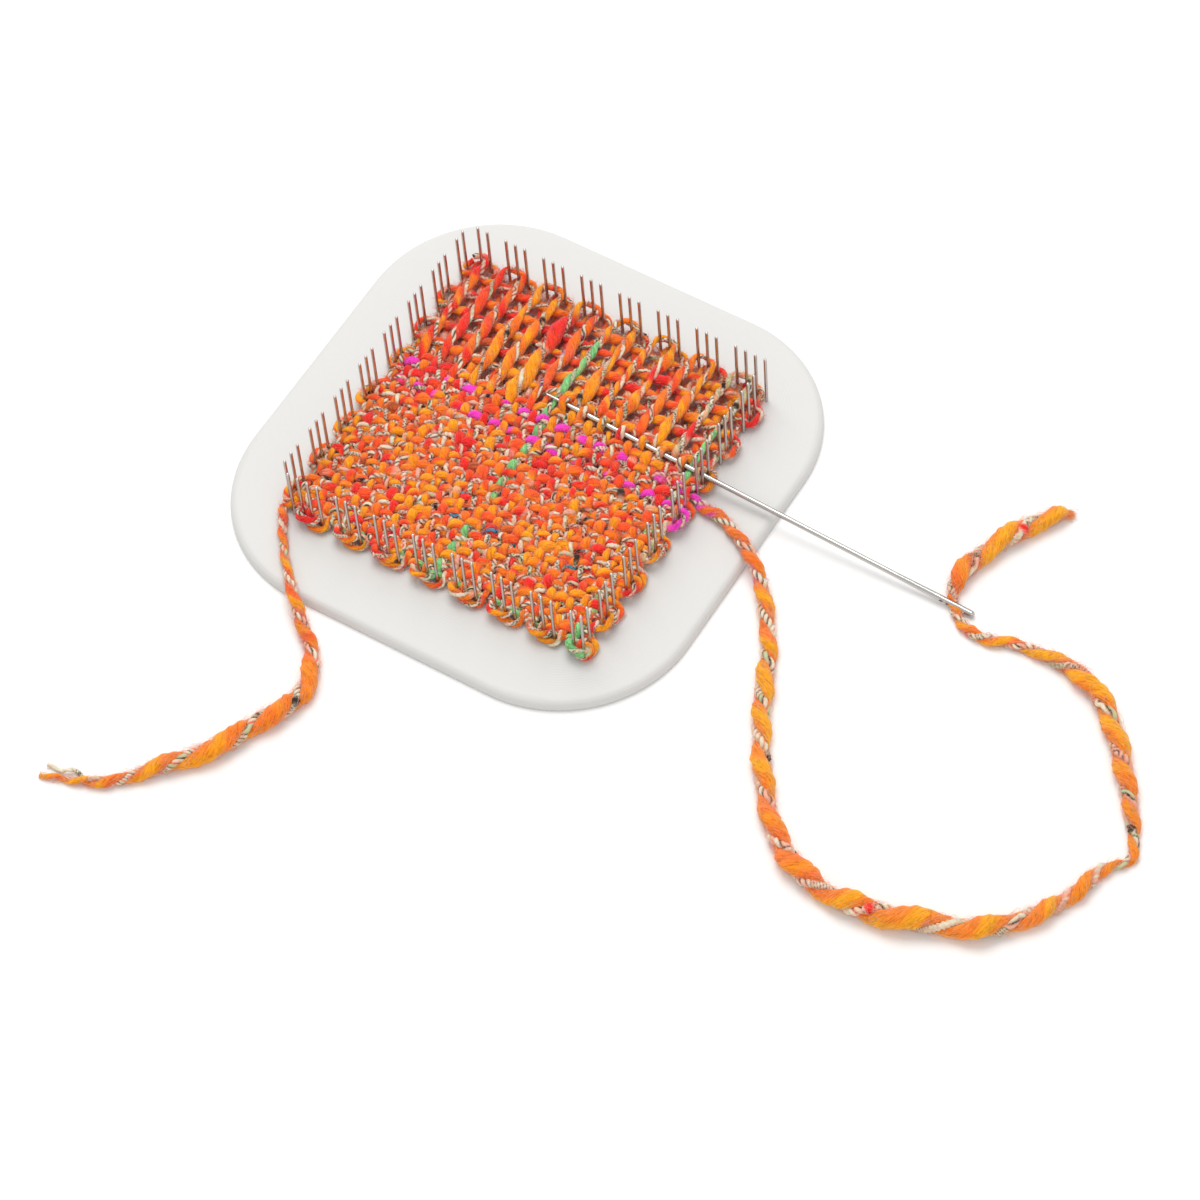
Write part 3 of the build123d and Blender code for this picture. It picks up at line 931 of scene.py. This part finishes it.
def accents(tones, x, y, name, s, seed):
    """Stretches of other colours, placed by pin step."""
    flick = wander(s, 3.0, seed + 31)

    def tint(colour, weight, *keys):
        for key in keys:
            tones[key] = mix(tones[key], colour, weight)

    def beside(line, place):
        return np.abs(line - place) < 0.6

    if name == "fourth":
        pinked = (beside(y, 16.5) | beside(y, 18.5)) & (x > 0)
        pinked = smooth(flick * 4 + 1.1) * pinked
        pink_loops = smooth((x - 30.6) * 2) * (np.abs(y - 15.6) < 1.3)
        tint(MAGENTA, np.maximum(pinked, pink_loops), "one", "two")
        blued = (beside(y, 8.5) | beside(y, 6.5)) & (x > 4)
        tint(BLUE, smooth(flick * 6 - 0.6) * blued, "pale", "ply")
        greened = beside(y, 0.5) * (x > 6) * (x < 30)
        tint(GREEN, greened * smooth(flick * 4 + 0.7), "one", "two")
        tint(SAGE, smooth((x - 29.6) * 2) * (y < 1.2), "two")
    if name == "third":
        green_strand = (np.abs(x - 15.5) < 0.4) * (y < 28)
        green_strand = green_strand * smooth(wander(s, 7.0, seed + 33) * 3 + 1.9)
        last_strand = (x > 28.6) * (x < 30)
        green_bits = (y > 17) * (y < 25) + smooth(flick * 3 - 0.4 + (y < 13))
        green_corner = (x > 29.4) * (y < 0.3)
        greened = np.maximum(green_strand, last_strand * green_bits) + green_corner
        faded = (x > 26.6) * (x < 30) * smooth((y - 20) / 2)
        tint(SAGE, 0.9 * faded, "one")
        tint(PINK, 0.6 * faded, "two")
        tint(GREEN, np.clip(greened, 0, 1), "one", "two")
        for column, start, end, tone_one, tone_two in STRAND_TONES:
            here = beside(x, column) * smooth((y - start) * 1.2) * smooth((end - y) * 1.2)
            tint(tone_one, 0.85 * here, "one")
            tint(tone_two, 0.85 * here, "two")
        purpled = (np.abs(x - 13.5) < 0.4) * (y > WOVEN_ROWS) * (y < 28)
        tint(PURPLE, purpled * smooth(flick * 3 + 0.3), "ply")
    if name == "first":
        tint(SAGE, (x > 30) * smooth((y - 8) / 4), "one")
    tint(RED, near_spot(x, y, RED_SPOTS, 1.2), "one", "two")
    return tones


def black_flecks(yarn, x, y, spots):
    """Short swollen black bits of the binder, on the turn nearest each spot that lies on top."""
    for spot_x, spot_y in spots:
        away = np.hypot(x - spot_x, y - spot_y) + 1.5 * (1 - np.cos(yarn.phase))
        yarn.fleck(yarn.s[np.argmin(away)], BLACK)


def within(x, y, margin, reach):
    """0 at the pins and 1 inside the square, margin steps in and over reach steps."""
    least = np.minimum(np.minimum(x, y), STEPS - np.maximum(x, y))
    return smooth((least - margin) / reach)


def layer_line(name, route, kind, top):
    """The middle of one layer of the yarn, in mm."""
    seed = LOOM_SEEDS[name]
    plan = np.array([(x, y, 0.0) for x, y in route])
    plan = soften(even(plan, 0.06), 2.2)
    x, y = plan[:, 0], plan[:, 1]
    heights = (upright_height if kind == "upright" else cross_height)(x, y, top)
    gone = lengths(plan)
    if name in STARTS:
        height, stretch = STARTS[name]
        heights = heights + (height - heights) * smooth(stretch - gone)
    if name in ENDS:
        height, stretch = ENDS[name]
        heights = heights + (height - heights) * smooth(stretch - (gone[-1] - gone))
    line = np.stack([x * STEP - HALF, y * STEP - HALF, heights], 1)
    s = lengths(line)
    stray = 0.30 * wander(s, 8.0, seed + 3) + 0.18 * wander(s, 3.5, seed + 9)
    sideways = axes(line)[2]
    return even(line + sideways * (stray * within(x, y, 0.4, 1.2))[:, None], CORE_STEP)


def loom_yarn(name, route, kind, top, *replaced):
    """Build one layer of the yarn on the pins, and its fuzz."""
    seed = LOOM_SEEDS[name]
    line = layer_line(name, route, kind, top)
    x, y = (line[:, 0] + HALF) / STEP, (line[:, 1] + HALF) / STEP
    s = lengths(line)
    open_part = smooth((y - WOVEN_ROWS) / 1.5)
    inside = within(x, y, 0.3, 0.9)
    slub = (0.30 + 0.12 * open_part) * wander(s, 7.0, seed + 4) + 0.16 * wander(s, 2.6, seed + 6)
    usual = 1.16 if name == "second" else 1.04
    core = usual * (1 + slub) * (0.84 + 0.16 * inside)
    core = np.clip(core * (1 + 0.12 * open_part), 0.55, 1.5) * thickness(name, kind, x, y)
    core = np.where(inside < 0.6, np.minimum(core, 0.98), core)
    by_needle = (np.abs(y - NEEDLE_ROW) < 0.7) & (x > NEEDLE_TIP_COLUMN - 0.2) & (kind == "upright")
    core = np.where(by_needle, np.minimum(core, 0.95), core)
    core = soften(np.stack([core, core, core], 1), 1.5)[:, 0]
    binder = 0.52 + 0.08 * wander(s, 5.0, seed + 7)
    high = 0.80 + 0.08 * open_part
    wide = 1.20 - 0.12 * open_part - 0.14 * (1 - inside)
    red = 0.02 + 0.30 * np.exp(-(((x - 3) / 7) ** 2 + ((y - 25) / 8) ** 2))
    tones = accents(plain_tones(s, seed, red), x, y, name, s, seed)
    yarn = Yarn(line, core, binder, high, wide, tones, seed)
    black_flecks(yarn, x, y, BLACK_SPOTS[name])
    piece = Piece(f"yarn_{name}_layer")
    yarn.add_core(piece, slice(0, len(s)), LOOM_SIDES)
    yarn.add_binder(piece, 0.0, yarn.s[-1], LOOM_SIDES)
    piece.build("loom", "loom_yarn", *replaced)
    fuzz = Piece(f"yarn_{name}_fuzz")
    yarn.add_fuzz(fuzz, 1.0, yarn.s[-1] - 1, LOOM_HAIRS, seed + 8, joints=3)
    fuzz.build("loom", "loom_yarn")


loom_yarn("first", first_route, "upright", False, "first_layer_strands", "front_loops")
loom_yarn("second", second_route, "cross", False, "second_layer_strands", "left_loops")
loom_yarn("third", third_route, "upright", True, "third_layer_strands")
loom_yarn("fourth", fourth_route, "cross", True, "woven_cloth", "right_loops")


def haze(count, seed):
    """Loose fibres that cross the gaps between the open strands, low down among them."""
    draw = np.random.default_rng(seed)
    middle = np.zeros((count, 3))
    middle[:, 0] = draw.uniform(0.2, 30.8, count) * STEP - HALF
    middle[:, 1] = draw.uniform(18.5, 31.2, count) * STEP - HALF
    middle[:, 2] = draw.uniform(PLATE + 0.6, PLATE + 2.6, count)
    turn = draw.uniform(0, 2 * math.pi, count)
    along = np.stack([np.cos(turn), np.sin(turn), draw.uniform(-0.12, 0.12, count)], 1)
    beside = np.stack([-np.sin(turn), np.cos(turn), draw.uniform(-0.2, 0.2, count)], 1)
    half = draw.uniform(1.0, 2.4, (count, 1))
    t = np.linspace(-1, 1, 4)
    bow = draw.uniform(-0.7, 0.7, (count, 1))
    path = middle[:, None] + (along * half)[:, None] * t[None, :, None]
    path = path + (beside * half * bow)[:, None] * (t ** 2)[None, :, None]
    path[..., 2] = np.maximum(path[..., 2], PLATE + 0.1)
    limit = HALF + 1.2
    path[..., :2] = np.clip(path[..., :2], -limit, limit)
    rings = hair_rings(path, 0.05, *hair_sections(path, [0.0, 0.0, 1.0]))
    choice = np.stack([RED, CORAL, ORANGE, RUST, PINK])
    return rings, choice[draw.integers(0, len(choice), count)]


haze_piece = Piece("yarn_haze")
haze_piece.hairs(*haze(HAZE_HAIRS, seed=911), FUZZ_SLOT)
haze_piece.build("loom", "loom_yarn")

# ---------------------------------------------------------------- plate, pins and needle

# The plate's half side and its corner radius, and the spacing of its fine lines, in metres
PLATE_HALF = 0.07175
PLATE_CORNER = 0.040
LINE_SPACING = 0.00085


def object_place(tree):
    """The place on the object, in metres."""
    return tree.nodes.new("ShaderNodeTexCoord").outputs["Object"]


def plate_material():
    """Matte cast plastic with very fine tool lines that follow the plate's outline."""
    made, shader, tree = material("plate_plastic", (0.80, 0.79, 0.775), 0.55, specular=0.35)
    place = object_place(tree)
    parts = tree.nodes.new("ShaderNodeSeparateXYZ")
    tree.links.new(place, parts.inputs["Vector"])
    squares = []
    for axis in "XY":
        size = maths(tree, "ABSOLUTE", parts.outputs[axis])
        past = maths(tree, "SUBTRACT", size, PLATE_HALF - PLATE_CORNER)
        past = maths(tree, "MAXIMUM", past, 0.0)
        squares.append(maths(tree, "MULTIPLY", past, past))
    outline = maths(tree, "SQRT", maths(tree, "ADD", *squares))
    lines = maths(tree, "SINE", maths(tree, "MULTIPLY", outline, 2 * math.pi / LINE_SPACING))
    cloud = noise(tree, place, 45.0, 3.0)
    grit = noise(tree, place, 900.0, 2.0)
    height = maths(tree, "MULTIPLY_ADD", lines, 0.35, maths(tree, "MULTIPLY", grit, 0.8))
    bump(tree, shader, height, 0.16, 0.00012)
    darker, lighter = (0.626, 0.620, 0.603, 1), (0.652, 0.646, 0.632, 1)
    ramp = node(tree, "ShaderNodeMixRGB", Color1=darker, Color2=lighter)
    tree.links.new(cloud, ramp.inputs["Fac"])
    tree.links.new(ramp.outputs["Color"], shader.inputs["Base Color"])
    rough = maths(tree, "MULTIPLY_ADD", cloud, 0.16, 0.46)
    tree.links.new(rough, shader.inputs["Roughness"])
    return made


def steel_material(name, base, painted_edge_reflection, low, high, scratch):
    """Drawn steel: fine marks, grazing edges darkened by a painted reflection of dark surroundings,
    and a gloss between low and high.
    """
    made, shader, tree = material(name, base, low, metallic=1.0)
    # The edge tint is a painted reflection: it darkens the grazing edges as dark surroundings would
    put(shader, Specular_Tint=(*painted_edge_reflection, 1.0))
    place = object_place(tree)
    cloud = noise(tree, place, 260.0, 3.0)
    rough = maths(tree, "MULTIPLY_ADD", cloud, high - low, low)
    tree.links.new(rough, shader.inputs["Roughness"])
    bump(tree, shader, noise(tree, place, 1500.0, 2.0), scratch, 0.00004)
    return made


def dress(name, made):
    """Give a CAD node a material."""
    found = next(o for o in bpy.context.scene.objects if o.get("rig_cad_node") == name)
    for place in found.material_slots:
        place.material = made
    if not found.material_slots:
        found.data.materials.append(made)


# Each steel's edge colour is a painted dark reflection at its grazing edges
PINS = steel_material(
    "pin_steel", (0.68, 0.64, 0.61), painted_edge_reflection=(0.38, 0.34, 0.32), low=0.12, high=0.26, scratch=0.08
)
NEEDLE = steel_material(
    "needle_steel", (0.60, 0.59, 0.57), painted_edge_reflection=(0.25, 0.24, 0.23), low=0.14, high=0.26, scratch=0.05
)
dress("base_plate", plate_material())
for cad_node in frame["nodes"]:
    if cad_node.startswith("pins_"):
        dress(cad_node, PINS)
dress("needle", NEEDLE)

# ---------------------------------------------------------------- floor and light

# The floor reaches this far each way, just under the object, in metres
FLOOR_REACH = 4.0
FLOOR_HEIGHT = -0.0001
floor_corners = [(-1, -1), (1, -1), (1, 1), (-1, 1)]
floor_corners = [(x * FLOOR_REACH, y * FLOOR_REACH, FLOOR_HEIGHT) for x, y in floor_corners]
floor_mesh = bpy.data.meshes.new("floor")
floor_mesh.from_pydata(floor_corners, [], [(0, 1, 2, 3)])
floor = new_object("floor", floor_mesh)
floor_mesh.materials.append(material("pale_floor", (0.90, 0.895, 0.89), 0.9, specular=0.1)[0])

world = bpy.data.worlds.new("studio")
bpy.context.scene.world = world
world.use_nodes = True
put(world.node_tree.nodes["Background"], Color=(1.0, 0.995, 0.985, 1), Strength=0.71)


def softbox(name, place, size, power):
    """A square area light facing the loom."""
    data = bpy.data.lights.new(name, "AREA")
    data.shape = "SQUARE"
    data.size = size
    data.energy = power
    light = new_object(name, data)
    light.location = place
    towards = Vector((0.03, 0, 0)) - Vector(place)
    light.rotation_euler = towards.to_track_quat("-Z", "Y").to_euler()


softbox("key", (-0.45, 0.55, 1.35), size=1.1, power=16.2)
softbox("fill", (0.9, -0.9, 0.9), size=1.2, power=3.2)
bpy.context.scene.view_settings.view_transform = "Standard"
